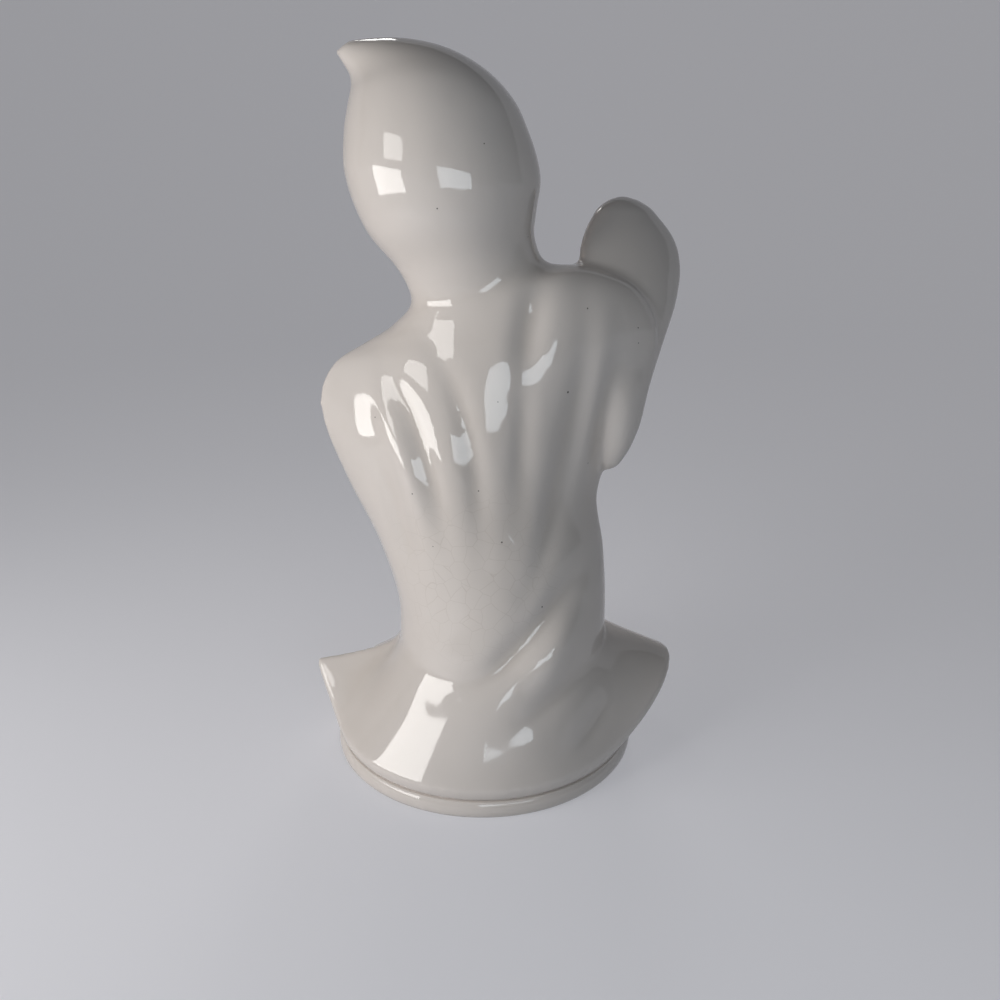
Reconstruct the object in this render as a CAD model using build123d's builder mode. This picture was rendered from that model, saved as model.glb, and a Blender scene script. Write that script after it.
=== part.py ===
from build123d import *
import os
from collections import namedtuple
from math import cos, exp, hypot, pi, radians, sin

# A slip-cast ghost seen from all sides: a hooded sheet over a raised right arm and a left arm held out
# in front. Millimetres, +Z up. The origin is the middle of the foot's resting face, the face looks
# along -Y, and the folds of the back look along +Y.

# Foot under the hem
foot_radius = 76.0
foot_height = 8.0
foot_groove = 2.0
foot_edge = 2.6
spigot_height = 5.0
spigot_wall = 6.0
vent_diameter = 12.0
vent_offset = 36.0

# Casting walls and the joints between castings
wall = 7.0
luting_gap = 0.3
seat_gap = 0.4

# Hem of the sheet: its plain edge, then the corners that swing out and lift. The skirt runs out to the
# hem on a power curve: near 1 it is straight, and above 2 it hangs and then flares.
hem_radius = 75.2
hem_height = 15.5
hem_roll = 2.2
skirt_curve = 1.15

Corner = namedtuple("Corner", "turn reach lift half_turn sharpness curve")
corners = [
    Corner(turn=-3, reach=12.5, lift=23.0, half_turn=10, sharpness=1.3, curve=2.5),
    Corner(turn=184, reach=21.5, lift=27.0, half_turn=27, sharpness=1.9, curve=0.95),
    Corner(turn=-38, reach=6.0, lift=6.0, half_turn=12, sharpness=1.8, curve=1.6),
    Corner(turn=222, reach=7.0, lift=9.0, half_turn=15, sharpness=1.8, curve=1.6),
    Corner(turn=270, reach=5.0, lift=3.0, half_turn=22, sharpness=1.8, curve=1.4),
]

# Sections from the waist to the tip of the hood. Each spans from a point of the left outline to one of
# the right outline, as the back shows them, and swells by its own depth to the back and to the front. A
# crown of 1 makes the back a half oval, and more draws it in towards the middle like a hanging cloth.
Section = namedtuple("Section", "left right back front crown")
hood_widest = Section((59.0, 276.0), (-25.5, 276.0), 41.0, 41.0, 1.0)
sections = [
    Section((42.5, 58.0), (-61.0, 58.0), 58.0, 52.0, 1.0),
    Section((42.5, 76.0), (-61.0, 76.0), 53.0, 48.0, 1.05),
    Section((51.5, 108.0), (-59.0, 104.0), 47.0, 44.0, 1.15),
    Section((65.5, 138.0), (-55.5, 132.0), 42.0, 42.0, 1.35),
    Section((75.5, 166.0), (-65.0, 157.0), 39.4, 42.0, 1.5),
    Section((75.5, 182.0), (-76.0, 184.0), 36.5, 40.0, 1.5),
    Section((68.5, 194.0), (-80.5, 207.0), 33.8, 37.0, 1.45),
    Section((54.0, 203.0), (-70.0, 227.0), 31.0, 34.0, 1.3),
    Section((40.0, 212.0), (-48.0, 237.0), 28.5, 32.0, 1.15),
    Section((32.0, 223.0), (-28.0, 239.5), 27.5, 31.5, 1.0),
    Section((37.0, 235.0), (-23.5, 249.0), 31.0, 34.0, 1.0),
    Section((50.0, 251.0), (-24.0, 260.0), 37.5, 38.5, 1.0),
    hood_widest,
    Section((58.5, 292.0), (-21.0, 291.0), 39.0, 39.0, 1.0),
    Section((57.0, 300.0), (-14.0, 305.0), 35.5, 35.5, 1.0),
    Section((55.5, 306.0), (-3.0, 316.0), 30.5, 30.5, 1.0),
    Section((54.5, 310.5), (13.0, 324.5), 23.0, 23.0, 1.0),
    Section((55.0, 314.5), (31.0, 328.3), 15.5, 15.5, 1.0),
    Section((57.0, 318.0), (45.0, 328.5), 9.5, 9.5, 1.0),
    Section((59.0, 321.0), (54.0, 327.8), 5.0, 5.0, 1.0),
]
hood_tip = (61.0, 0.0, 323.8)

# Folds of the sheet, each a path of (x, z) points as it is seen from behind or from the front, with its
# half width and how far it rises from the plain form. A valley's rise is below zero.
Fold = namedtuple("Fold", "path half_width rise")
back_folds = [
    Fold([(33, 213), (25, 205), (16, 190), (11, 177), (9, 162)], 5.5, -2.8),
    Fold([(-27, 233), (-19, 222), (-16, 207), (-15, 196)], 7.0, -4.0),
    Fold([(-17, 210), (-14, 189), (-13, 172), (-9, 157), (-7, 141), (-7, 118)], 4.4, -3.4),
    Fold([(-28, 200), (-26, 177), (-18, 142), (-8, 111)], 6.5, 2.0),
    Fold([(-40, 230), (-39, 206), (-32, 165), (-25, 127), (-13, 91), (-8, 81)], 5.0, -3.4),
    Fold([(-50, 229), (-46, 187), (-38, 132), (-22, 98)], 6.5, 1.8),
    Fold([(-58, 209), (-49, 157), (-38, 114)], 6.0, -2.4),
    Fold([(38, 188), (22, 151), (14, 131)], 5.5, -1.7),
    Fold([(57, 192), (43, 143), (32, 102), (32, 84)], 5.5, -2.2),
    Fold([(-58, 94), (-39, 87), (-16, 72), (5, 57), (22, 47)], 6.5, -4.2),
    Fold([(-58, 78), (-28, 63), (0, 40)], 10.0, 3.6),
    Fold([(-60, 58), (-36, 55), (-8, 38)], 6.0, -2.6),
    Fold([(-64, 40), (-41, 21)], 6.5, -1.8),
]
front_folds = [
    Fold([(18, 212), (12, 180), (0, 140), (-8, 100)], 7.0, -3.2),
    Fold([(-20, 224), (-18, 190), (-20, 150), (-24, 110)], 7.0, -3.4),
    Fold([(-48, 222), (-46, 190), (-42, 150), (-36, 115)], 7.0, -2.6),
    Fold([(44, 130), (30, 105), (12, 84), (-12, 66)], 7.5, -2.8),
    Fold([(38, 104), (22, 84), (0, 62), (-20, 42)], 8.0, 2.6),
]
fold_run_out = 0.22
fold_steps = 24

# Raised right sleeve, leaning to the front: height, middle x and y, half width and half depth of a section
Slice = namedtuple("Slice", "along middle_x middle half_width half_depth")
right_sleeve_tip = (-58.0, 9.0, 142.5)
right_sleeve_slices = [
    Slice(145.0, -59.0, 9.0, 4.0, 4.0),
    Slice(150.0, -60.5, 9.0, 6.5, 6.5),
    Slice(162.0, -63.5, 9.0, 9.5, 9.0),
    Slice(180.0, -66.0, 7.0, 12.2, 11.0),
    Slice(200.0, -67.4, 2.0, 17.4, 12.5),
    Slice(222.0, -68.3, -8.0, 22.7, 13.5),
    Slice(236.0, -68.7, -16.0, 24.3, 13.5),
    Slice(248.0, -68.4, -25.0, 22.0, 12.5),
    Slice(257.0, -68.0, -32.0, 17.7, 11.0),
    Slice(263.5, -67.5, -37.0, 11.4, 8.0),
    Slice(266.3, -67.0, -39.0, 5.6, 4.5),
]
right_sleeve_top = (-66.7, -40.0, 267.6)

# Left sleeve held out in front: reach, middle x, middle z, half width and half height of each section
left_sleeve_root = (46.0, 14.0, 168.0)
left_sleeve_slices = [
    Slice(0.0, 50.0, 168.0, 15.0, 19.0),
    Slice(20.0, 55.0, 170.0, 17.0, 20.0),
    Slice(40.0, 59.5, 170.0, 18.0, 20.0),
    Slice(60.0, 62.5, 168.0, 18.0, 20.5),
    Slice(75.0, 64.0, 165.0, 16.0, 19.0),
    Slice(84.0, 64.5, 163.0, 11.0, 13.0),
]
left_sleeve_end = (64.5, -88.0, 162.0)

# Face, inlaid in dark glaze: plain ovals set out from the widest part of the hood
eye_width = 13.0
eye_height = 21.0
eye_spread = 30.0
eye_rise = 4.0
mouth_width = 12.0
mouth_height = 15.0
mouth_drop = 24.0
inlay_depth = 2.8
inlay_gap = 0.1


def smooth_through(places, values, at):
    """Value at one place of a smooth curve through the values at the given places."""
    last = len(places) - 1
    at = min(max(at, places[0]), places[last])
    step = 0
    while step < last - 1 and places[step + 1] < at:
        step += 1

    def slope(index):
        low, high = max(index - 1, 0), min(index + 1, last)
        if high - low == 1:
            return (values[high] - values[low]) / (places[high] - places[low])
        before = places[index] - places[low]
        after = places[high] - places[index]
        rise_before = (values[index] - values[low]) / before
        rise_after = (values[high] - values[index]) / after
        return (rise_before * after + rise_after * before) / (before + after)

    span = places[step + 1] - places[step]
    t = (at - places[step]) / span
    return (
        values[step] * (1 + 2 * t) * (1 - t) ** 2
        + slope(step) * span * t * (1 - t) ** 2
        + values[step + 1] * t * t * (3 - 2 * t)
        - slope(step + 1) * span * t * t * (1 - t)
    )


def ease(share):
    """Share from 0 to 1 with soft ends."""
    share = min(max(share, 0.0), 1.0)
    return share * share * (3 - 2 * share)


# Running distance from the waist to each section, the mean of both outlines
section_places = [0.0]
for low, high in zip(sections, sections[1:]):
    left_step = hypot(high.left[0] - low.left[0], high.left[1] - low.left[1])
    right_step = hypot(high.right[0] - low.right[0], high.right[1] - low.right[1])
    section_places.append(section_places[-1] + (left_step + right_step) / 2)
hood_place = section_places[-1]


def section_at(place):
    """Left point, right point, back and front depth and crown of the section at one place."""
    rows = [(*s.left, *s.right, s.back, s.front, s.crown) for s in sections]
    return [smooth_through(section_places, column, place) for column in zip(*rows)]


def hem_edge(angle, corner_share=1.0):
    """Radius and height of the hem's edge, and the power of the skirt's curve out to it."""
    radius, height, curve = hem_radius, hem_height, skirt_curve
    for corner in corners:
        turn = (angle - radians(corner.turn) + pi) % (2 * pi) - pi
        share = corner_share * exp(-abs(turn / radians(corner.half_turn)) ** corner.sharpness)
        radius += corner.reach * share
        height += corner.lift * share
        curve += (corner.curve - skirt_curve) * share
    return radius, height, curve


def plain_point(level, angle, corner_share=1.0):
    """Point of the form without folds: level -1 is the hem's edge, 0 the waist, above 0 a place."""
    left_x, left_z, right_x, right_z, back, front, crown = section_at(max(level, 0.0))
    half_x, half_z = (left_x - right_x) / 2, (left_z - right_z) / 2
    side = sin(angle)
    x = (left_x + right_x) / 2 + half_x * cos(angle)
    y = back * side**crown if side >= 0 else front * side
    z = (left_z + right_z) / 2 + half_z * cos(angle)
    if level < 0:
        radius, height, curve = hem_edge(angle, corner_share)
        swing = (-level) ** curve
        x += (radius * cos(angle) - x) * swing
        y += (radius * sin(angle) - y) * swing
        z += (height - z) * -level
    return Vector(x, y, z)


def sampled(path):
    """Evenly spaced points along the smooth line through a fold's path."""
    run = [0.0]
    for (x0, z0), (x1, z1) in zip(path, path[1:]):
        run.append(run[-1] + hypot(x1 - x0, z1 - z0))
    xs, zs = zip(*path)
    spots = [run[-1] * k / fold_steps for k in range(fold_steps + 1)]
    return [(smooth_through(run, xs, s), smooth_through(run, zs, s)) for s in spots]


fold_lines = {
    True: [(sampled(fold.path), fold) for fold in back_folds],
    False: [(sampled(fold.path), fold) for fold in front_folds],
}


def fold_rise(x, z, side):
    """How far the folds lift the sheet at a point, fading out towards the flanks."""
    total = 0.0
    for line, fold in fold_lines[side >= 0]:
        best, where = 4 * fold.half_width, 0.0
        for k, ((x0, z0), (x1, z1)) in enumerate(zip(line, line[1:])):
            dx, dz = x1 - x0, z1 - z0
            share = ((x - x0) * dx + (z - z0) * dz) / (dx * dx + dz * dz)
            share = min(max(share, 0.0), 1.0)
            gap = hypot(x - x0 - share * dx, z - z0 - share * dz)
            if gap < best:
                best, where = gap, (k + share) / fold_steps
        ends = ease(min(where, 1 - where) / fold_run_out)
        total += fold.rise * (0.12 + 0.88 * ends) * exp(-((best / fold.half_width) ** 2))
    return total * ease((abs(side) - 0.04) / 0.3)


def figure_point(level, angle, grow=0.0, fold_share=1.0, corner_share=1.0):
    """Point of the draped form, grown along its normal by a set amount."""
    turn = 0.002
    step = 0.002 if level < 0 else 0.2
    low = level - step if level < 0 else max(level - step, 0.0)
    high = min(level + step, 0.0) if level < 0 else level + step
    point = plain_point(level, angle, corner_share)
    around = plain_point(level, angle + turn, corner_share) - plain_point(level, angle - turn, corner_share)
    upward = plain_point(high, angle, corner_share) - plain_point(low, angle, corner_share)
    outward = around.cross(upward).normalized()
    hem_fade = ease((1.04 + level) / 0.3) if level < 0 else 1.0
    lift = fold_share * hem_fade * fold_rise(point.X, point.Z, sin(angle)) + grow
    return point + outward * lift


def hem_point(step, angle, grow=0.0):
    """Point of the rolled hem, from its edge at step 0 to the groove over the foot at step 1."""
    radius, height, _ = hem_edge(angle)
    groove_radius = foot_radius - foot_groove
    drop = height - foot_height
    radii = (radius, radius + hem_roll, groove_radius + foot_groove / 2, groove_radius)
    heights = (height, height - 0.3 * drop, foot_height + 0.2 * drop, foot_height)
    weights = ((1 - step) ** 3, 3 * step * (1 - step) ** 2, 3 * step * step * (1 - step), step**3)
    out = sum(w * r for w, r in zip(weights, radii)) + grow
    up = sum(w * h for w, h in zip(weights, heights))
    return Vector(out * cos(angle), out * sin(angle), up)


def closed_ring(points):
    """One closed smooth curve through the points."""
    marks = [k / len(points) for k in range(len(points) + 1)]
    with BuildLine() as ring:
        add(Edge.make_spline(points, periodic=True, parameters=marks))
    return ring.wire()


def banded_solid(rings, peak):
    """Solid with a flat floor in the first ring, bands from ring to ring and a peak over the last one.
    The rings are bent out of plane, so each band is made by itself and the skin is closed at the end."""
    bands = [Shell.make_loft(pair, True) for pair in zip(rings, rings[1:] + [Vertex(*peak)])]
    faces = [face for band in bands for face in band.faces()]
    return Solid(Shell([Face(rings[0])] + faces))


def ring_angles(count):
    """Angles round the form, closer together on the back where the folds are."""
    turns = [2 * pi * k / count for k in range(count)]
    return [turn + 0.4 * cos(turn) for turn in turns]


def figure_form(grow=0.0):
    """The draped form from the groove over the foot to the tip of the hood."""
    angles = ring_angles(64)
    rings = [closed_ring([hem_point(step / 4, a, grow) for a in angles]) for step in (4, 3, 2, 1)]
    levels = [k / 14 - 1 for k in range(14)] + [hood_place * k / 64 for k in range(65)]
    rings += [closed_ring([figure_point(level, a, grow) for a in angles]) for level in levels]
    return banded_solid(rings, hood_tip)


def hollow_form():
    """The space inside the casting, a wall's thickness in from the plain form without its corners."""
    angles = ring_angles(32)
    opening = foot_radius - foot_groove - wall
    heights = [foot_height, foot_height + spigot_height + 1]
    rings = [closed_ring([Vector(opening * cos(a), opening * sin(a), z) for a in angles]) for z in heights]
    levels = [-0.75, -0.5, -0.25] + [section_places[-3] * k / 18 for k in range(19)]
    rings += [closed_ring([figure_point(level, a, -wall, 0.7, 0.0) for a in angles]) for level in levels]
    left, right = sections[-2].left, sections[-2].right
    return banded_solid(rings, ((left[0] + right[0]) / 2, 0.0, (left[1] + right[1]) / 2))


def oval(plane, half_width, half_depth):
    """Oval outline laid on a plane, in two halves."""
    with BuildSketch(plane) as outline:
        with BuildLine():
            EllipticalCenterArc((0, 0), half_width, half_depth, start_angle=0, arc_size=180)
            EllipticalCenterArc((0, 0), half_width, half_depth, start_angle=180, arc_size=180)
        make_face()
    return outline.sketch


outer_form = figure_form()
luting_form = figure_form(luting_gap)


def inlay_blank(x, z, width, height, gap=0.0):
    """Oval plug on the front of the hood, let in by the inlay depth and standing proud of the surface."""
    hits = outer_form.find_intersection_points(Axis((x, -200, z), (0, 1, 0)))
    spot, normal = min(hits, key=lambda hit: hit[0].Y)
    floor = Plane(spot - normal * (inlay_depth + gap), x_dir=(1, 0, 0), z_dir=normal)
    with BuildPart() as blank:
        with BuildSketch(floor):
            Ellipse(width / 2 + gap, height / 2 + gap)
        extrude(amount=2 * inlay_depth)
    return blank.part


face_middle = (hood_widest.left[0] + hood_widest.right[0]) / 2
face_level = (hood_widest.left[1] + hood_widest.right[1]) / 2
face_marks = {
    "left_eye": (face_middle + eye_spread / 2, face_level + eye_rise, eye_width, eye_height),
    "right_eye": (face_middle - eye_spread / 2, face_level + eye_rise, eye_width, eye_height),
    "mouth": (face_middle, face_level - mouth_drop, mouth_width, mouth_height),
}
inlays = {name: inlay_blank(*mark) for name, mark in face_marks.items()}
pockets = [inlay_blank(*mark, gap=inlay_gap) for mark in face_marks.values()]

# Hood, torso and skirt: one hollow casting, open over the foot
with BuildPart() as ghost_body:
    add(outer_form)
    add(hollow_form(), mode=Mode.SUBTRACT)
    add(pockets, mode=Mode.SUBTRACT)

# Raised right sleeve, cast apart and luted to the flank
right_ovals = [
    oval(Plane((s.middle_x, s.middle, s.along)), s.half_width, s.half_depth) for s in right_sleeve_slices
]
with BuildPart() as right_sleeve:
    loft([Vertex(*right_sleeve_tip)] + right_ovals + [Vertex(*right_sleeve_top)])
    add(luting_form, mode=Mode.SUBTRACT)

# Left sleeve held out in front, cast apart and luted to the shoulder
left_ovals = [
    oval(
        Plane((s.middle_x, -s.along, s.middle), x_dir=(1, 0, 0), z_dir=(0, -1, 0)),
        s.half_width,
        s.half_depth,
    )
    for s in left_sleeve_slices
]
with BuildPart() as left_sleeve:
    loft([Vertex(*left_sleeve_root)] + left_ovals + [Vertex(*left_sleeve_end)])
    add(luting_form, mode=Mode.SUBTRACT)

# Foot: a disc with a rounded rim, a spigot that centres it in the casting and a vent for the kiln
with BuildPart() as foot:
    with BuildSketch(Plane.XZ):
        with BuildLine():
            rim_top = foot_radius - foot_groove
            Line((0, 0), (foot_radius - foot_edge, 0))
            Spline((foot_radius - foot_edge, 0), (foot_radius, foot_height / 2), (rim_top, foot_height),
                   tangents=[(1, 0.2), (-1, 0.35)])
            Line((rim_top, foot_height), (0, foot_height))
            Line((0, foot_height), (0, 0))
        make_face()
    revolve(axis=Axis.Z)
    with BuildSketch(Plane.XY.offset(foot_height)):
        Circle(foot_radius - foot_groove - wall - seat_gap)
        Circle(foot_radius - foot_groove - wall - seat_gap - spigot_wall, mode=Mode.SUBTRACT)
    extrude(amount=spigot_height)
    with BuildSketch(Plane.XY):
        with Locations((0, vent_offset)):
            Circle(vent_diameter / 2)
    extrude(amount=foot_height, mode=Mode.SUBTRACT)

# Dark glaze of the face, flush with the hood
with BuildPart() as left_eye:
    add(inlays["left_eye"])
    add(outer_form, mode=Mode.INTERSECT)

with BuildPart() as right_eye:
    add(inlays["right_eye"])
    add(outer_form, mode=Mode.INTERSECT)

with BuildPart() as mouth:
    add(inlays["mouth"])
    add(outer_form, mode=Mode.INTERSECT)

ghost_body.part.label = "ghost_body"
right_sleeve.part.label = "right_sleeve"
left_sleeve.part.label = "left_sleeve"
foot.part.label = "foot"
left_eye.part.label = "left_eye"
right_eye.part.label = "right_eye"
mouth.part.label = "mouth"

os.makedirs("parts", exist_ok=True)
export_step(ghost_body.part, "parts/ghost_body.step")
export_step(right_sleeve.part, "parts/right_sleeve.step")
export_step(left_sleeve.part, "parts/left_sleeve.step")
export_step(foot.part, "parts/foot.step")
export_step(left_eye.part, "parts/left_eye.step")
export_step(right_eye.part, "parts/right_eye.step")
export_step(mouth.part, "parts/mouth.step")
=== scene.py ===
from math import pi, radians
import bpy
import numpy as np
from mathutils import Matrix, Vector
from mathutils.bvhtree import BVHTree


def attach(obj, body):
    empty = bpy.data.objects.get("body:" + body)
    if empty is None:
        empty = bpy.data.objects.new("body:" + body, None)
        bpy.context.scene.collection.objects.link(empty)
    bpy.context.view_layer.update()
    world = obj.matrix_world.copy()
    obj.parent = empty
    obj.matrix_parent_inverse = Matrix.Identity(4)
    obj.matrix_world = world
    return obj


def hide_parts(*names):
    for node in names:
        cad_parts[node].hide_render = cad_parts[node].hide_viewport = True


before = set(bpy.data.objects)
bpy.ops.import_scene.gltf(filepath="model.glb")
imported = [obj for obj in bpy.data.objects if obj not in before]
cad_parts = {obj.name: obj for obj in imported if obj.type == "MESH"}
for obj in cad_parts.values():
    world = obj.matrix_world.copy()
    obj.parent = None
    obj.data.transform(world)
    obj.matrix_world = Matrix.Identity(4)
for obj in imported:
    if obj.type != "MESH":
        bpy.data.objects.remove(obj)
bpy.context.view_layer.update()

# Draped sheet: hood, torso and skirt of one hollow slip casting, white earthenware under a clear warm
# glaze. A ball of rings is pushed out to the casting's form, in millimetres, ring by ring from the seat
# over the foot to the tip of the hood, with the folds raised and sunk along the given lines.
hem_radius, hem_height, hem_roll = 75.2, 15.5, 2.2
groove_radius, groove_depth, foot_height = 74.4, 2.0, 8.0
seat_radius, seat_height = 67.0, 13.6
groove_share, lip_share, corner_fill = 0.4, 0.3, 14
skirt_curve = 1.15
# corners of the hem: turn, reach, lift, half turn, sharpness, power of the skirt's curve there
corners = [
    (-3, 12.5, 23.0, 10, 1.3, 2.5),
    (184, 21.5, 27.0, 27, 1.9, 0.95),
    (-38, 6.0, 6.0, 12, 1.8, 1.6),
    (222, 7.0, 9.0, 15, 1.8, 1.6),
    (270, 5.0, 3.0, 22, 1.8, 1.4),
]
# left x and z, right x and z, depth at the back, depth at the front, power of the back's crown
sections = np.array([
    (42.5, 58.0, -61.0, 58.0, 58.0, 52.0, 1.0),
    (42.5, 76.0, -61.0, 76.0, 53.0, 48.0, 1.05),
    (51.5, 108.0, -59.0, 104.0, 46.2, 44.0, 1.2),
    (65.5, 138.0, -55.5, 132.0, 42.7, 42.0, 1.6),
    (75.5, 166.0, -65.0, 157.0, 39.8, 42.0, 2.0),
    (75.5, 182.0, -76.0, 184.0, 36.1, 40.0, 2.15),
    (68.5, 194.0, -80.5, 207.0, 33.3, 37.0, 2.0),
    (54.0, 203.0, -70.0, 227.0, 29.9, 34.0, 1.65),
    (40.0, 212.0, -48.0, 237.0, 27.9, 32.0, 1.25),
    (32.0, 223.0, -28.0, 239.5, 27.3, 31.5, 1.0),
    (37.0, 235.0, -23.5, 249.0, 31.0, 34.0, 1.0),
    (50.0, 251.0, -24.0, 260.0, 37.5, 38.5, 1.0),
    (59.0, 276.0, -25.5, 276.0, 41.0, 41.0, 1.0),
    (58.5, 292.0, -21.0, 291.0, 39.0, 39.0, 1.0),
    (57.0, 300.0, -14.0, 305.0, 35.5, 35.5, 1.0),
    (55.5, 306.0, -3.0, 316.0, 30.5, 30.5, 1.0),
    (54.5, 310.5, 13.0, 324.5, 23.0, 23.0, 1.0),
    (55.0, 314.5, 31.0, 328.3, 15.5, 15.5, 1.0),
    (57.0, 318.0, 45.0, 328.5, 9.5, 9.5, 1.0),
    (59.0, 321.0, 54.0, 327.8, 5.0, 5.0, 1.0),
])
hood_tip = (61.0, 0.0, 323.8)
# folds: points (x, z) along the line, half width, and rise, below 0 for a valley
back_folds = [
    ([(32, 216), (20, 203), (12, 188), (6, 170), (2, 145), (0, 108)], 5.0, -2.2),
    ([(-29, 240), (-23, 224), (-19.5, 207), (-18, 186)], 6.5, -3.2),
    ([(-20, 204), (-18.5, 184), (-17.5, 160), (-16, 126)], 4.4, -1.7),
    ([(-31, 196), (-30, 180), (-28, 150), (-25, 110), (-20, 60)], 7.0, 0.9),
    ([(-45, 232), (-46, 206), (-41, 170), (-33, 135), (-24, 104), (-8, 70)], 5.5, -2.6),
    ([(-55, 228), (-52, 190), (-46, 150), (-36, 110)], 6.0, 1.4),
    ([(-62, 212), (-56, 170), (-48, 125)], 5.5, -2.0),
    ([(46, 200), (31, 176), (23, 152), (15, 112)], 4.6, -2.1),
    ([(50, 190), (40, 170), (32, 148), (26, 120)], 5.0, 2.2),
    ([(52, 168), (42, 140), (34, 110), (30, 80)], 5.5, -2.0),
    ([(-58, 106), (-42, 98), (-26, 82), (-4, 62), (24, 50)], 6.5, -3.8),
    ([(-46, 88), (-34, 72), (-22, 50)], 9.0, 3.6),
    ([(-60, 58), (-36, 50), (-8, 34)], 6.0, -2.0),
    ([(-64, 40), (-41, 21)], 6.5, -1.6),
]
front_folds = [
    ([(18, 212), (12, 180), (0, 140), (-8, 100)], 7.0, -3.2),
    ([(-20, 224), (-18, 190), (-20, 150), (-24, 110)], 7.0, -3.4),
    ([(-48, 222), (-46, 190), (-42, 150), (-36, 115)], 7.0, -2.6),
    ([(44, 130), (30, 105), (12, 84), (-12, 66)], 7.5, -2.8),
    ([(38, 104), (22, 84), (0, 62), (-20, 42)], 8.0, 2.6),
]
fold_run_out, fold_steps, fold_reach, fold_end_share = 0.45, 24, 4, 0.12
side_margin, hem_margin, margin_ease = 0.04, 1.04, 0.3
turn_step, skirt_step, figure_step = 0.002, 0.002, 0.2
sheet_turns, hem_rings, skirt_rings, figure_rings = 288, 9, 60, 260


def smooth_through(places, values, at):
    """Values at some places of a smooth curve through the given values."""
    places, values = np.asarray(places, float), np.asarray(values, float)
    step, rise = np.diff(places), np.diff(values) / np.diff(places)
    inner = (rise[:-1] * step[1:] + rise[1:] * step[:-1]) / (step[:-1] + step[1:])
    slope = np.concatenate((rise[:1], inner, rise[-1:]))
    at = np.clip(at, places[0], places[-1])
    k = np.clip(np.searchsorted(places, at) - 1, 0, len(step) - 1)
    t = (at - places[k]) / step[k]
    return (values[k] * (1 + 2 * t) * (1 - t) ** 2 + slope[k] * step[k] * t * (1 - t) ** 2
            + values[k + 1] * t * t * (3 - 2 * t) - slope[k + 1] * step[k] * t * t * (1 - t))


def eased(share):
    """Share from 0 to 1 with soft ends."""
    share = np.clip(share, 0, 1)
    return share * share * (3 - 2 * share)


left_run = np.hypot(np.diff(sections[:, 0]), np.diff(sections[:, 1]))
right_run = np.hypot(np.diff(sections[:, 2]), np.diff(sections[:, 3]))
section_places = np.concatenate(([0], np.cumsum((left_run + right_run) / 2)))
hood_place = section_places[-1]


def hem_edge(angle):
    """Radius and height of the hem's edge with its lifted corners, and the power of the skirt's curve."""
    radius, height, curve = hem_radius + 0 * angle, hem_height + 0 * angle, skirt_curve + 0 * angle
    for turn, reach, lift, half_turn, sharpness, bow in corners:
        away = (angle - radians(turn) + pi) % (2 * pi) - pi
        share = np.exp(-np.abs(away / radians(half_turn)) ** sharpness)
        radius, height = radius + reach * share, height + lift * share
        curve = curve + (bow - skirt_curve) * share
    return radius, height, curve


def plain_sheet(level, angle):
    """Form without folds: level -1 is the hem's edge, 0 the waist, above 0 the way up to the tip."""
    left_x, left_z, right_x, right_z, back, front, crown = [
        smooth_through(section_places, column, np.maximum(level, 0)) for column in sections.T]
    across = np.abs(np.sin(angle))
    x = (left_x + right_x) / 2 + (left_x - right_x) / 2 * np.cos(angle)
    y = np.where(np.sin(angle) >= 0, back * across ** crown, -front * across)
    z = (left_z + right_z) / 2 + (left_z - right_z) / 2 * np.cos(angle)
    radius, height, curve = hem_edge(angle)
    fall = np.maximum(-level, 0)
    swing = fall ** curve
    x = x + (radius * np.cos(angle) - x) * swing
    y = y + (radius * np.sin(angle) - y) * swing
    z = z + (height - z) * fall
    return np.stack((x, y, z), axis=-1)


def fold_rise(x, z, folds):
    """How far a set of folds lifts the sheet at each point."""
    total = np.zeros_like(x)
    for path, half_width, rise in folds:
        path = np.array(path, float)
        run = np.concatenate(([0], np.cumsum(np.hypot(*np.diff(path, axis=0).T))))
        spots = np.linspace(0, run[-1], fold_steps + 1)
        line_x, line_z = smooth_through(run, path[:, 0], spots), smooth_through(run, path[:, 1], spots)
        best, where = np.full_like(x, fold_reach * half_width), np.zeros_like(x)
        for k in range(fold_steps):
            dx, dz = line_x[k + 1] - line_x[k], line_z[k + 1] - line_z[k]
            share = np.clip(((x - line_x[k]) * dx + (z - line_z[k]) * dz) / (dx * dx + dz * dz), 0, 1)
            gap = np.hypot(x - line_x[k] - share * dx, z - line_z[k] - share * dz)
            where = np.where(gap < best, (k + share) / fold_steps, where)
            best = np.minimum(best, gap)
        ends = eased(np.minimum(where, 1 - where) / fold_run_out)
        strength = fold_end_share + (1 - fold_end_share) * ends
        total += rise * strength * np.exp(-((best / half_width) ** 2))
    return total


def draped_sheet(level, angle):
    """The sheet with its folds, each point moved along the plain form's normal."""
    low = np.where(level < 0, level - skirt_step, np.maximum(level - figure_step, 0))
    high = np.where(level < 0, np.minimum(level + skirt_step, 0), level + figure_step)
    point = plain_sheet(level, angle)
    normal = np.cross(plain_sheet(level, angle + turn_step) - plain_sheet(level, angle - turn_step),
                      plain_sheet(high, angle) - plain_sheet(low, angle))
    normal /= np.linalg.norm(normal, axis=-1, keepdims=True)
    side = np.sin(angle) + 0 * level
    lift = np.where(side >= 0, fold_rise(point[..., 0], point[..., 2], back_folds),
                    fold_rise(point[..., 0], point[..., 2], front_folds))
    lift = lift * eased((np.abs(side) - side_margin) / margin_ease)
    lift = lift * eased((hem_margin + np.minimum(level, 0)) / margin_ease)
    return point + normal * lift[..., None]


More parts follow.
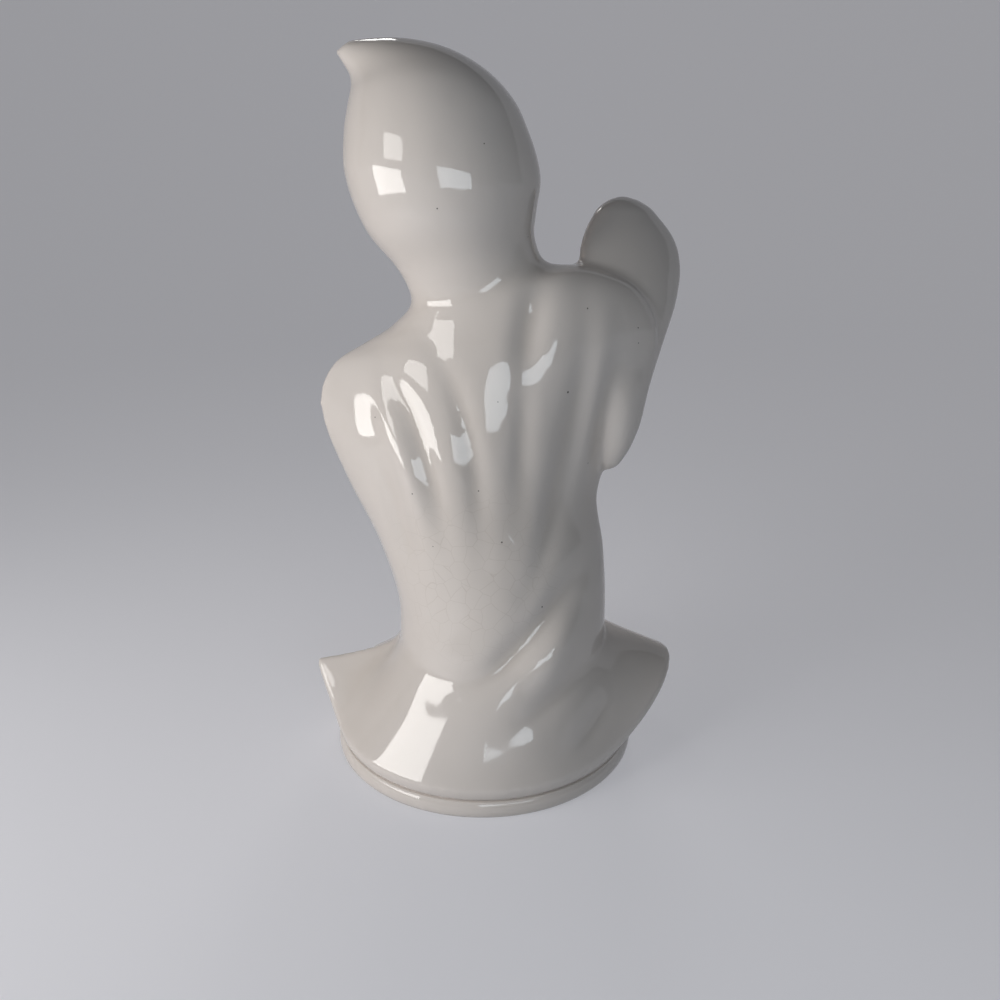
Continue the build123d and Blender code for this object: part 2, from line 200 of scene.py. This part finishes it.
def rolled_hem(step, angle):
    """The hem rolled under, from its edge at step 0 to the groove over the foot at step 1."""
    radius, height, _ = hem_edge(angle)
    drop = height - foot_height
    weights = ((1 - step) ** 3, 3 * step * (1 - step) ** 2, 3 * step * step * (1 - step), step ** 3)
    groove = groove_radius + groove_depth / 2 * np.clip((radius - hem_radius) / corner_fill, 0, 1)
    radii = (radius, radius + hem_roll, groove, groove)
    heights = (height, height - lip_share * drop, foot_height + groove_share * drop, foot_height)
    out = sum(w * r for w, r in zip(weights, radii))
    up = sum(w * h for w, h in zip(weights, heights))
    return np.stack((out * np.cos(angle), out * np.sin(angle), up), axis=-1)


def shaped_ball(name, rings, low_end, high_end):
    """A ball whose rings and poles are moved to the given places, from the lowest up."""
    count, turns = rings.shape[:2]
    bpy.ops.object.select_all(action="DESELECT")
    bpy.ops.mesh.primitive_uv_sphere_add(segments=turns, ring_count=count + 1, radius=1, calc_uvs=False)
    ball = bpy.context.object
    ball.name = name
    spots = np.empty(len(ball.data.vertices) * 3)
    ball.data.vertices.foreach_get("co", spots)
    x, y, z = spots.reshape(-1, 3).T
    ring = np.rint(np.arccos(np.clip(-z, -1, 1)) / pi * (count + 1)).astype(int) - 1
    turn = np.rint(np.arctan2(y, x) / (2 * pi) * turns).astype(int) % turns
    places = rings[np.clip(ring, 0, count - 1), turn]
    places[ring < 0] = low_end
    places[ring >= count] = high_end
    ball.data.vertices.foreach_set("co", (places / 1000).ravel())
    ball.data.update()
    return ball


angles = np.linspace(0, 2 * pi, sheet_turns, endpoint=False)[None, :]
circle = np.concatenate((np.cos(angles), np.sin(angles)))
seat = [(seat_radius / 2, seat_height), (seat_radius, seat_height), (seat_radius, foot_height)]
seat_rows = np.stack([np.stack((r * circle[0], r * circle[1], h + 0 * circle[0]), -1) for r, h in seat])
hem_rows = rolled_hem(np.linspace(1, 0.1, hem_rings)[:, None], angles)
skirt_levels, figure_levels = np.linspace(-1, -0.02, skirt_rings), np.linspace(0, hood_place, figure_rings)
levels = np.concatenate((skirt_levels, figure_levels))[:, None]
sheet_rows = np.concatenate((seat_rows, hem_rows, draped_sheet(levels, angles)))
glazed_sheet = shaped_ball("glazed_sheet", sheet_rows, (0, 0, seat_height), hood_tip)

# Sleeves: the raised right one and the left one held out in front, cast apart in the same clay, luted
# to the wet casting with slip and run together with it by the glaze, so all three are one skin here.
# the raised sleeve's outer edge is swept to the front by this slope, from this height on
right_sweep, sweep_start, sweep_ease = 0.5, 145, 40
# height, middle x and y, half width, half depth
right_slices = np.array([
    (142.5, -58.0, 5.0, 0.3, 0.3),
    (145.0, -59.0, 5.0, 4.0, 4.0),
    (150.0, -60.5, 5.0, 6.5, 6.5),
    (162.0, -63.5, 4.5, 9.5, 9.0),
    (180.0, -66.0, 2.0, 12.2, 11.0),
    (200.0, -67.8, -5.5, 17.6, 12.5),
    (222.0, -69.4, -15.0, 24.2, 13.5),
    (236.0, -69.8, -22.0, 25.8, 13.5),
    (248.0, -69.3, -29.0, 23.4, 12.5),
    (257.0, -68.2, -34.5, 17.8, 11.0),
    (263.5, -67.5, -38.0, 11.4, 8.0),
    (266.3, -67.0, -39.5, 5.6, 4.5),
    (267.6, -66.7, -40.0, 0.3, 0.3),
])
# reach to the front, middle x and z, half width, half height
left_slices = np.array([
    (-14.0, 46.0, 168.0, 1.0, 1.0),
    (0.0, 50.0, 168.0, 15.0, 19.0),
    (20.0, 55.0, 170.0, 17.0, 20.0),
    (40.0, 59.5, 170.0, 18.0, 20.0),
    (60.0, 62.5, 168.0, 18.0, 20.5),
    (75.0, 64.0, 165.0, 16.0, 19.0),
    (84.0, 64.5, 163.0, 11.0, 13.0),
    (88.0, 64.5, 162.0, 0.3, 0.3),
])
sleeve_turns, sleeve_rings, skin_grain = 64, 90, 0.0015
luting_reach, luting_search, luting_low, luting_high = 0.005, 0.02, 0.13, 0.28
right_flank, left_side, hollow_spread = -0.035, 0.02, 60
turns = np.linspace(0, 2 * pi, sleeve_turns, endpoint=False)[None, :]
spread = np.sin(np.linspace(-pi / 2, pi / 2, sleeve_rings))[:, None] / 2 + 0.5


def slice_columns(slices):
    """Middle line and half sizes along a sleeve, closer together at its ends."""
    along = slices[0, 0] + (slices[-1, 0] - slices[0, 0]) * spread
    return [along] + [smooth_through(slices[:, 0], slices[:, k], along) for k in (1, 2, 3, 4)]


along, middle_x, middle_y, half_width, half_depth = slice_columns(right_slices)
across = half_width * np.cos(turns)
sweep = right_sweep * np.clip((along - sweep_start) / sweep_ease, 0, 1) * across
right_rows = np.stack(
    (middle_x + across, middle_y + half_depth * np.sin(turns) + sweep, along + 0 * turns), -1)
right_sleeve = shaped_ball("right_sleeve_skin", right_rows, right_rows[0].mean(0), right_rows[-1].mean(0))
along, middle_x, middle_z, half_width, half_depth = slice_columns(left_slices)
left_rows = np.stack(
    (middle_x + half_width * np.cos(turns), -along + 0 * turns, middle_z + half_depth * np.sin(turns)), -1)
left_sleeve = shaped_ball("left_sleeve_skin", left_rows, left_rows[0].mean(0), left_rows[-1].mean(0))

scene_now = bpy.context.evaluated_depsgraph_get()
sheet_before, right_before, left_before = [
    BVHTree.FromObject(skin, scene_now) for skin in (glazed_sheet, right_sleeve, left_sleeve)]
bpy.ops.object.select_all(action="DESELECT")
for skin in (right_sleeve, left_sleeve, glazed_sheet):
    skin.select_set(True)
bpy.context.view_layer.objects.active = glazed_sheet
bpy.ops.object.join()
bpy.ops.object.mode_set(mode="EDIT")
bpy.ops.mesh.select_all(action="SELECT")
bpy.ops.mesh.normals_make_consistent(inside=False)
bpy.ops.object.mode_set(mode="OBJECT")
remesh = glazed_sheet.modifiers.new("run together", "REMESH")
remesh.mode = "VOXEL"
remesh.voxel_size = skin_grain
bpy.ops.object.modifier_apply(modifier=remesh.name)

seam = glazed_sheet.vertex_groups.new(name="luted_seam")
for vertex in glazed_sheet.data.vertices:
    by_sleeve = vertex.co.x < right_flank or vertex.co.y < left_side < vertex.co.x
    if luting_low < vertex.co.z < luting_high and by_sleeve:
        to_sheet = sheet_before.find_nearest(vertex.co, luting_search)[3]
        to_right = right_before.find_nearest(vertex.co, luting_search)[3]
        to_left = left_before.find_nearest(vertex.co, luting_search)[3]
        near = [gap for gap in (to_right, to_left) if gap is not None]
        if to_sheet is not None and near:
            away = (to_sheet + min(near)) / luting_reach
            seam.add([vertex.index], float(np.exp(-away * away)), "REPLACE")
wiped = glazed_sheet.modifiers.new("slip wiped into the seams", "SMOOTH")
wiped.factor, wiped.iterations, wiped.vertex_group = 0.5, 40, seam.name
bpy.ops.object.modifier_apply(modifier=wiped.name)
soften = glazed_sheet.modifiers.new("glaze softens edges", "SMOOTH")
soften.factor, soften.iterations = 0.5, 6
bpy.ops.object.modifier_apply(modifier=soften.name)
bpy.ops.object.shade_smooth()

# how far each spot lies in a hollow, in metres, for the glaze that runs off ridges and pools in folds;
# it also drives painted shade in the hollows and a painted highlight on the ridges
skin = glazed_sheet.data
spots = np.empty(len(skin.vertices) * 3)
skin.vertices.foreach_get("co", spots)
spots = spots.reshape(-1, 3)
outward = np.empty(len(skin.vertices) * 3)
skin.vertex_normals.foreach_get("vector", outward)
ends = np.empty(len(skin.edges) * 2, dtype=np.int32)
skin.edges.foreach_get("vertices", ends)
ends = ends.reshape(-1, 2)
neighbours = np.bincount(ends.ravel(), minlength=len(spots))[:, None]
evened = spots.copy()
for _ in range(hollow_spread):
    around = np.zeros_like(evened)
    for one, other in ((0, 1), (1, 0)):
        for k in range(3):
            around[:, k] += np.bincount(ends[:, one], evened[ends[:, other], k], len(spots))
    evened = (evened + around / neighbours) / 2
hollow = skin.attributes.new("hollow", "FLOAT", "POINT")
hollow.data.foreach_set("value", ((evened - spots) * outward.reshape(-1, 3)).sum(1).astype(np.float32))

white_glaze = bpy.data.materials.new("white_glaze")
white_glaze.use_nodes = True
nodes, links = white_glaze.node_tree.nodes, white_glaze.node_tree.links
shader = nodes["Principled BSDF"]
shader.inputs["IOR"].default_value = 1.52
places = nodes.new("ShaderNodeTexCoord")

# creamy white that varies softly over a hand's breadth, warmer where the glaze pools in the hollows and
# painted darker there as painted shade, lighter where it thins on the ridges and there partly a painted
# highlight
cloud = nodes.new("ShaderNodeTexNoise")
cloud.inputs["Scale"].default_value = 11
cloud.inputs["Detail"].default_value = 3
links.new(places.outputs["Object"], cloud.inputs["Vector"])
cream = nodes.new("ShaderNodeValToRGB")
low, high = cream.color_ramp.elements
low.position, low.color = 0.3, (0.705, 0.645, 0.60, 1)
high.position, high.color = 0.7, (0.755, 0.70, 0.665, 1)
links.new(cloud.outputs["Fac"], cream.inputs["Fac"])
lie = nodes.new("ShaderNodeAttribute")
lie.attribute_name = "hollow"
pooled_glaze_and_shade = nodes.new("ShaderNodeMapRange")
pooled_glaze_and_shade.inputs["From Min"].default_value, pooled_glaze_and_shade.inputs["From Max"].default_value = 0.0001, 0.0011
pooled_glaze_and_shade.inputs["To Max"].default_value = 0.55
links.new(lie.outputs["Fac"], pooled_glaze_and_shade.inputs["Value"])
# painted shade: the hollows go darker as well as warmer, the shade their folds would hold painted into the
# glaze's colour
pool_and_shade_tint = nodes.new("ShaderNodeMix")
pool_and_shade_tint.data_type = "RGBA"
pool_and_shade_tint.inputs["B"].default_value = (0.62, 0.555, 0.50, 1)
links.new(pooled_glaze_and_shade.outputs["Result"], pool_and_shade_tint.inputs["Factor"])
links.new(cream.outputs["Color"], pool_and_shade_tint.inputs["A"])
thin_glaze_and_highlight = nodes.new("ShaderNodeMapRange")
thin_glaze_and_highlight.inputs["From Min"].default_value, thin_glaze_and_highlight.inputs["From Max"].default_value = -0.0002, -0.0016
thin_glaze_and_highlight.inputs["To Max"].default_value = 0.5
links.new(lie.outputs["Fac"], thin_glaze_and_highlight.inputs["Value"])
# painted highlight: the ridges go lighter, partly the thinner glaze and partly light painted onto them
ridge_and_highlight_tint = nodes.new("ShaderNodeMix")
ridge_and_highlight_tint.data_type = "RGBA"
ridge_and_highlight_tint.inputs["B"].default_value = (0.785, 0.725, 0.685, 1)
links.new(thin_glaze_and_highlight.outputs["Result"], ridge_and_highlight_tint.inputs["Factor"])
links.new(pool_and_shade_tint.outputs["Result"], ridge_and_highlight_tint.inputs["A"])

# crazing: a net of hairlines in the glaze over the small of the back
wander = nodes.new("ShaderNodeTexNoise")
wander.inputs["Scale"].default_value = 60
links.new(places.outputs["Object"], wander.inputs["Vector"])
bent = nodes.new("ShaderNodeVectorMath")
bent.operation = "MULTIPLY_ADD"
bent.inputs[1].default_value = (0.006, 0.006, 0.006)
links.new(wander.outputs["Color"], bent.inputs[0])
links.new(places.outputs["Object"], bent.inputs[2])
net = nodes.new("ShaderNodeTexVoronoi")
net.feature = "DISTANCE_TO_EDGE"
net.inputs["Scale"].default_value = 130
links.new(bent.outputs["Vector"], net.inputs["Vector"])
hairline = nodes.new("ShaderNodeMapRange")
hairline.inputs["From Min"].default_value, hairline.inputs["From Max"].default_value = 0.022, 0.006
links.new(net.outputs["Distance"], hairline.inputs["Value"])
small_of_back = nodes.new("ShaderNodeVectorMath")
small_of_back.operation = "DISTANCE"
small_of_back.inputs[1].default_value = (0.008, 0.044, 0.108)
links.new(bent.outputs["Vector"], small_of_back.inputs[0])
patch_edge = nodes.new("ShaderNodeMapRange")
patch_edge.inputs["From Min"].default_value, patch_edge.inputs["From Max"].default_value = 0.05, 0.02
links.new(small_of_back.outputs["Value"], patch_edge.inputs["Value"])
crazed = nodes.new("ShaderNodeMath")
crazed.operation = "MULTIPLY"
links.new(hairline.outputs["Result"], crazed.inputs[0])
links.new(patch_edge.outputs["Result"], crazed.inputs[1])
craze_share = nodes.new("ShaderNodeMath")
craze_share.operation = "MULTIPLY"
craze_share.inputs[1].default_value = 0.22
links.new(crazed.outputs["Value"], craze_share.inputs[0])
craze_tint = nodes.new("ShaderNodeMix")
craze_tint.data_type = "RGBA"
craze_tint.inputs["B"].default_value = (0.42, 0.36, 0.30, 1)
links.new(craze_share.outputs["Value"], craze_tint.inputs["Factor"])
links.new(ridge_and_highlight_tint.outputs["Result"], craze_tint.inputs["A"])

# pinholes, where bubbles burst in the firing and left a dark pit: x and z on the back, and radius
pits = None
for x, z, pit_radius in (
    (-45.8, 220.6, 0.45), (-37.8, 185.1, 0.65), (-70.0, 210.8, 0.4), (-70.5, 204.0, 0.35),
    (-48.8, 149.6, 0.4), (47.6, 173.4, 0.4), (30.7, 142.1, 0.4), (1.4, 144.1, 0.4),
    (-8.8, 121.2, 0.5), (-27.1, 90.1, 0.5), (-7.1, 182.8, 0.3), (16.9, 261.4, 0.4),
    (-1.8, 285.6, 0.35), (22.0, 118.0, 0.3), (-20.0, 250.0, 0.3),
):
    spot = glazed_sheet.ray_cast(Vector((x / 1000, 0.2, z / 1000)), Vector((0, -1, 0)))[1]
    away = nodes.new("ShaderNodeVectorMath")
    away.operation = "DISTANCE"
    away.inputs[1].default_value = spot
    links.new(places.outputs["Object"], away.inputs[0])
    pit = nodes.new("ShaderNodeMapRange")
    pit.inputs["From Min"].default_value = pit_radius / 1000
    pit.inputs["From Max"].default_value = pit_radius / 2500
    links.new(away.outputs["Value"], pit.inputs["Value"])
    if pits is not None:
        either = nodes.new("ShaderNodeMath")
        either.operation = "MAXIMUM"
        links.new(pits, either.inputs[0])
        links.new(pit.outputs["Result"], either.inputs[1])
        pits = either.outputs["Value"]
    else:
        pits = pit.outputs["Result"]
pit_tint = nodes.new("ShaderNodeMix")
pit_tint.data_type = "RGBA"
pit_tint.inputs["B"].default_value = (0.05, 0.04, 0.03, 1)
links.new(pits, pit_tint.inputs["Factor"])
links.new(craze_tint.outputs["Result"], pit_tint.inputs["A"])
links.new(pit_tint.outputs["Result"], shader.inputs["Base Color"])

# gloss of a fired glaze, a little duller in clouds, over a surface that is never quite even
dull = nodes.new("ShaderNodeMapRange")
dull.inputs["To Min"].default_value, dull.inputs["To Max"].default_value = 0.035, 0.085
links.new(cloud.outputs["Fac"], dull.inputs["Value"])
links.new(dull.outputs["Result"], shader.inputs["Roughness"])
waves = nodes.new("ShaderNodeTexNoise")
waves.inputs["Scale"].default_value = 30
waves.inputs["Detail"].default_value = 1.5
links.new(places.outputs["Object"], waves.inputs["Vector"])
uneven = nodes.new("ShaderNodeBump")
uneven.inputs["Strength"].default_value = 1.0
uneven.inputs["Distance"].default_value = 0.0009
links.new(waves.outputs["Fac"], uneven.inputs["Height"])
links.new(uneven.outputs["Normal"], shader.inputs["Normal"])
skin.materials.clear()
skin.materials.append(white_glaze)
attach(glazed_sheet, "root")
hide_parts("ghost_body", "right_sleeve", "left_sleeve")

# Foot: a disc with a rounded rim, cast apart, stuck under the hem with slip and glazed with it. A spigot
# centres it in the casting and a vent lets the kiln's heat out. Its underside is wiped bare to stand on.
# radius and height of the rim, ring by ring from the sole to the groove under the hem
foot_profile = [
    (75.0, 0.5), (75.8, 1.7), (76.0, 3.4), (75.85, 5.0),
    (75.45, 6.2), (74.95, 7.1), (74.6, 7.7), (groove_radius, foot_height),
]
sole_radius, spigot_radius, spigot_height, spigot_wall = 73.4, 66.6, 5.0, 6.0
vent_radius, vent_offset = 6.0, 36.0


def choose(piece, kind, wanted):
    """Enter edit mode with only those edges or faces selected whose corners are all wanted."""
    bpy.ops.object.mode_set(mode="EDIT")
    bpy.ops.mesh.select_mode(type=kind)
    bpy.ops.mesh.select_all(action="DESELECT")
    bpy.ops.object.mode_set(mode="OBJECT")
    for element in piece.data.edges if kind == "EDGE" else piece.data.polygons:
        element.select = all(wanted(piece.data.vertices[k].co) for k in element.vertices)
    bpy.ops.object.mode_set(mode="EDIT")


bpy.ops.object.select_all(action="DESELECT")
bpy.ops.mesh.primitive_circle_add(vertices=192, radius=sole_radius / 1000, fill_type="NGON")
glazed_foot = bpy.context.object
glazed_foot.name = "glazed_foot"
bpy.ops.object.mode_set(mode="EDIT")
bpy.ops.mesh.select_mode(type="FACE")
bpy.ops.mesh.select_all(action="SELECT")
ring_radius, ring_height = sole_radius, 0.0
for radius, height in foot_profile:
    bpy.ops.mesh.extrude_region_move(TRANSFORM_OT_translate={"value": (0, 0, (height - ring_height) / 1000)})
    growth = radius / ring_radius
    bpy.ops.transform.resize(value=(growth, growth, 1), center_override=(0, 0, height / 1000))
    ring_radius, ring_height = radius, height
bpy.ops.mesh.inset(thickness=(ring_radius - spigot_radius) / 1000)
bpy.ops.mesh.extrude_region_move(TRANSFORM_OT_translate={"value": (0, 0, spigot_height / 1000)})
bpy.ops.mesh.inset(thickness=spigot_wall / 1000)
bpy.ops.mesh.extrude_region_move(TRANSFORM_OT_translate={"value": (0, 0, -spigot_height / 1000)})
choose(glazed_foot, "EDGE", lambda spot: spot.z < 0.0001)
bpy.ops.mesh.edge_face_add()
bpy.ops.mesh.select_all(action="SELECT")
bpy.ops.mesh.normals_make_consistent(inside=False)
bpy.ops.object.mode_set(mode="OBJECT")
bpy.ops.object.select_all(action="DESELECT")
bpy.ops.mesh.primitive_cylinder_add(
    vertices=48, radius=vent_radius / 1000, depth=0.03, location=(0, vent_offset / 1000, 0))
vent_drill = bpy.context.object
bpy.ops.object.select_all(action="DESELECT")
glazed_foot.select_set(True)
bpy.context.view_layer.objects.active = glazed_foot
vent = glazed_foot.modifiers.new("vent", "BOOLEAN")
vent.operation, vent.object, vent.solver = "DIFFERENCE", vent_drill, "EXACT"
bpy.ops.object.modifier_apply(modifier=vent.name)
bpy.data.objects.remove(vent_drill)
worn = glazed_foot.modifiers.new("sponged edges", "BEVEL")
worn.width, worn.segments, worn.limit_method, worn.angle_limit = 0.0005, 3, "ANGLE", radians(50)
bpy.ops.object.modifier_apply(modifier=worn.name)
bpy.ops.object.shade_smooth_by_angle(angle=radians(40))

foot_glaze = white_glaze.copy()
foot_glaze.name = "foot_glaze"
nodes, links = foot_glaze.node_tree.nodes, foot_glaze.node_tree.links
shader = nodes["Principled BSDF"]
glaze_colour = shader.inputs["Base Color"].links[0].from_socket
glaze_gloss = shader.inputs["Roughness"].links[0].from_socket
glaze_bump = shader.inputs["Normal"].links[0].from_node
places = nodes.new("ShaderNodeTexCoord")
grain = nodes.new("ShaderNodeTexNoise")
grain.inputs["Scale"].default_value = 900
grain.inputs["Detail"].default_value = 4
links.new(places.outputs["Object"], grain.inputs["Vector"])
wiped_edge = nodes.new("ShaderNodeTexNoise")
wiped_edge.inputs["Scale"].default_value = 70
links.new(places.outputs["Object"], wiped_edge.inputs["Vector"])
height = nodes.new("ShaderNodeSeparateXYZ")
links.new(places.outputs["Object"], height.inputs["Vector"])
wiped_line = nodes.new("ShaderNodeMath")
wiped_line.operation = "MULTIPLY_ADD"
wiped_line.inputs[1].default_value = -0.0012
links.new(wiped_edge.outputs["Fac"], wiped_line.inputs[0])
links.new(height.outputs["Z"], wiped_line.inputs[2])
bare = nodes.new("ShaderNodeMapRange")
bare.inputs["From Min"].default_value, bare.inputs["From Max"].default_value = 0.0001, -0.0001
links.new(wiped_line.outputs["Value"], bare.inputs["Value"])
biscuit = nodes.new("ShaderNodeValToRGB")
low, high = biscuit.color_ramp.elements
low.position, low.color = 0.3, (0.60, 0.53, 0.44, 1)
high.position, high.color = 0.7, (0.72, 0.66, 0.57, 1)
links.new(grain.outputs["Fac"], biscuit.inputs["Fac"])
sole_tint = nodes.new("ShaderNodeMix")
sole_tint.data_type = "RGBA"
links.new(bare.outputs["Result"], sole_tint.inputs["Factor"])
links.new(glaze_colour, sole_tint.inputs["A"])
links.new(biscuit.outputs["Color"], sole_tint.inputs["B"])
links.new(sole_tint.outputs["Result"], shader.inputs["Base Color"])
sole_gloss = nodes.new("ShaderNodeMix")
sole_gloss.inputs["B"].default_value = 0.85
links.new(bare.outputs["Result"], sole_gloss.inputs["Factor"])
links.new(glaze_gloss, sole_gloss.inputs["A"])
links.new(sole_gloss.outputs["Result"], shader.inputs["Roughness"])
sole_grain = nodes.new("ShaderNodeBump")
sole_grain.inputs["Distance"].default_value = 0.0003
links.new(bare.outputs["Result"], sole_grain.inputs["Strength"])
links.new(grain.outputs["Fac"], sole_grain.inputs["Height"])
links.new(glaze_bump.outputs["Normal"], sole_grain.inputs["Normal"])
links.new(sole_grain.outputs["Normal"], shader.inputs["Normal"])
glazed_foot.data.materials.clear()
glazed_foot.data.materials.append(foot_glaze)
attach(glazed_foot, "root")
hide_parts("foot")

# Face: two eyes and a mouth, plain ovals of thick dark glaze let into the front of the hood, where they
# stand a little proud of the white as they set.
edge_sink, dome_rise, glaze_depth, edge_round = 0.0004, 0.0011, 0.002, 0.0004
dark_glaze = bpy.data.materials.new("dark_glaze")
dark_glaze.use_nodes = True
nodes, links = dark_glaze.node_tree.nodes, dark_glaze.node_tree.links
shader = nodes["Principled BSDF"]
shader.inputs["IOR"].default_value = 1.6
places = nodes.new("ShaderNodeTexCoord")
break_up = nodes.new("ShaderNodeTexNoise")
break_up.inputs["Scale"].default_value = 260
break_up.inputs["Detail"].default_value = 4
links.new(places.outputs["Object"], break_up.inputs["Vector"])
black_brown = nodes.new("ShaderNodeValToRGB")
low, high = black_brown.color_ramp.elements
low.position, low.color = 0.4, (0.010, 0.010, 0.012, 1)
high.position, high.color = 0.8, (0.026, 0.020, 0.017, 1)
links.new(break_up.outputs["Fac"], black_brown.inputs["Fac"])
links.new(black_brown.outputs["Color"], shader.inputs["Base Color"])
dull = nodes.new("ShaderNodeMapRange")
dull.inputs["To Min"].default_value, dull.inputs["To Max"].default_value = 0.05, 0.16
links.new(break_up.outputs["Fac"], dull.inputs["Value"])
links.new(dull.outputs["Result"], shader.inputs["Roughness"])
waves = nodes.new("ShaderNodeTexNoise")
waves.inputs["Scale"].default_value = 120
links.new(places.outputs["Object"], waves.inputs["Vector"])
uneven = nodes.new("ShaderNodeBump")
uneven.inputs["Distance"].default_value = 0.0003
links.new(waves.outputs["Fac"], uneven.inputs["Height"])
links.new(uneven.outputs["Normal"], shader.inputs["Normal"])

# node, x and height of its middle, width and height
for node_name, middle_x, middle_z, width, height in (
    ("left_eye", 0.03175, 0.280, 0.013, 0.021),
    ("right_eye", 0.00175, 0.280, 0.013, 0.021),
    ("mouth", 0.01675, 0.252, 0.012, 0.015),
):
    bpy.ops.object.select_all(action="DESELECT")
    bpy.ops.mesh.primitive_circle_add(vertices=48, radius=0.5, fill_type="TRIFAN",
                                      location=(middle_x, -0.08, middle_z), rotation=(radians(90), 0, 0))
    oval = bpy.context.object
    oval.name = "glaze_" + node_name
    oval.scale = (width, height, 1)
    bpy.ops.object.transform_apply(location=True, rotation=True, scale=True)
    bpy.ops.object.mode_set(mode="EDIT")
    bpy.ops.mesh.select_all(action="SELECT")
    bpy.ops.mesh.subdivide(number_cuts=5)
    bpy.ops.object.mode_set(mode="OBJECT")
    laid = oval.modifiers.new("laid on the hood", "SHRINKWRAP")
    laid.target, laid.wrap_method = glazed_sheet, "PROJECT"
    laid.use_project_y, laid.use_positive_direction, laid.use_negative_direction = True, True, False
    bpy.ops.object.modifier_apply(modifier=laid.name)
    for vertex in oval.data.vertices:
        across, up = (vertex.co.x - middle_x) / (width / 2), (vertex.co.z - middle_z) / (height / 2)
        vertex.co.y += edge_sink - dome_rise * (1 - min(across ** 2 + up ** 2, 1) ** 3)
    deep = oval.modifiers.new("let in", "SOLIDIFY")
    deep.thickness, deep.offset = glaze_depth, -1
    bpy.ops.object.modifier_apply(modifier=deep.name)
    soft = oval.modifiers.new("soft edge", "BEVEL")
    soft.width, soft.segments, soft.limit_method, soft.angle_limit = edge_round, 3, "ANGLE", radians(50)
    bpy.ops.object.modifier_apply(modifier=soft.name)
    bpy.ops.object.shade_smooth_by_angle(angle=radians(60))
    oval.data.materials.append(dark_glaze)
    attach(oval, "root")
    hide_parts(node_name)

# Stage: a pale floor that sweeps up into a backdrop on the far side of the figure.
floor_depth, floor_stretch, backdrop_height, sweep_radius = 5, 4, 3, 0.9
bpy.ops.object.select_all(action="DESELECT")
bpy.ops.mesh.primitive_plane_add(size=floor_depth)
floor = bpy.context.object
floor.name = "floor"
floor.scale = (floor_stretch, 1, 1)
bpy.ops.object.transform_apply(location=True, rotation=True, scale=True)
choose(floor, "EDGE", lambda spot: spot.y < 0)
bpy.ops.mesh.extrude_region_move(TRANSFORM_OT_translate={"value": (0, 0, backdrop_height)})
choose(floor, "EDGE", lambda spot: spot.y < 0 and spot.z < backdrop_height / 2)
bpy.ops.mesh.bevel(offset=sweep_radius, segments=24, affect="EDGES")
bpy.ops.object.mode_set(mode="OBJECT")
bpy.ops.object.shade_smooth()
floor_paint = bpy.data.materials.new("floor_paint")
floor_paint.use_nodes = True
nodes, links = floor_paint.node_tree.nodes, floor_paint.node_tree.links
shader = nodes["Principled BSDF"]
shader.inputs["Base Color"].default_value = (0.50, 0.50, 0.53, 1)
shader.inputs["Roughness"].default_value = 0.8
shader.inputs["Emission Color"].default_value = (0.90, 0.90, 0.95, 1)
seen_by = nodes.new("ShaderNodeLightPath")
seen = nodes.new("ShaderNodeMath")
seen.operation = "MAXIMUM"
links.new(seen_by.outputs["Is Camera Ray"], seen.inputs[0])
links.new(seen_by.outputs["Is Glossy Ray"], seen.inputs[1])
paleness = nodes.new("ShaderNodeMath")
paleness.operation = "MULTIPLY"
paleness.inputs[1].default_value = 0.32
links.new(seen.outputs["Value"], paleness.inputs[0])
links.new(paleness.outputs["Value"], shader.inputs["Emission Strength"])
floor.data.materials.append(floor_paint)

# Light: two soft panels on the left, a cooler one behind the camera, a small lamp and a dim fill in front
# of the face, and faint light from all round. Turn and rise in degrees round the hood, then the distance.
hood_middle = Vector((0.015, 0.0, 0.27))
for name, turn, rise, away, size, spread, power, tint in (
    ("left_panel_low", 62, -9, 0.62, (0.43, 0.19), 180, 2.0, (1.0, 0.98, 0.95)),
    ("left_panel_high", 51, 13, 0.62, (0.24, 0.145), 180, 0.55, (1.0, 0.98, 0.95)),
    ("near_panel", -15, -2, 0.62, (0.38, 0.155), 180, 0.85, (0.86, 0.94, 1.0)),
    ("face_lamp", 165, 40, 1.0, (0.14, 0.14), 180, 0.35, (1.0, 0.98, 0.95)),
    ("face_fill", 185, 0, 1.2, (0.5, 0.2), 36, 0.6, (1.0, 0.98, 0.96)),
):
    lamp = bpy.data.lights.new(name, "AREA")
    lamp.shape, lamp.size, lamp.size_y, lamp.energy, lamp.color = "RECTANGLE", size[0], size[1], power, tint
    lamp.spread = radians(spread)
    lamp_object = bpy.data.objects.new(name, lamp)
    lamp_object.visible_glossy = name != "face_fill"
    turn, rise = radians(turn), radians(rise)
    toward = Vector((np.sin(turn) * np.cos(rise), np.cos(turn) * np.cos(rise), np.sin(rise)))
    lamp_object.location = hood_middle + toward * away
    lamp_object.rotation_mode = "QUATERNION"
    lamp_object.rotation_quaternion = (-toward).to_track_quat("-Z", "Y")
    bpy.context.collection.objects.link(lamp_object)
world = bpy.data.worlds.new("studio")
bpy.context.scene.world = world
world.use_nodes = True
nodes, links = world.node_tree.nodes, world.node_tree.links
nodes["Background"].inputs["Color"].default_value = (0.92, 0.94, 1.0, 1)
seen_by = nodes.new("ShaderNodeLightPath")
room_light = nodes.new("ShaderNodeMapRange")
room_light.inputs["To Min"].default_value, room_light.inputs["To Max"].default_value = 0.06, 0.36
links.new(seen_by.outputs["Is Camera Ray"], room_light.inputs["Value"])
links.new(room_light.outputs["Result"], nodes["Background"].inputs["Strength"])

# Camera: behind the figure, a little above the shoulders, looking down at the back.
camera_data = bpy.data.cameras.new("camera")
camera_data.sensor_width, camera_data.lens = 36, 31.32
camera = bpy.data.objects.new("camera", camera_data)
camera.location = (-0.008, 0.403, 0.260)
look_down = 18.3
camera.rotation_euler = (radians(90 - look_down), 0, radians(180))
bpy.context.collection.objects.link(camera)
bpy.context.scene.camera = camera
bpy.context.scene.view_settings.view_transform = "Standard"
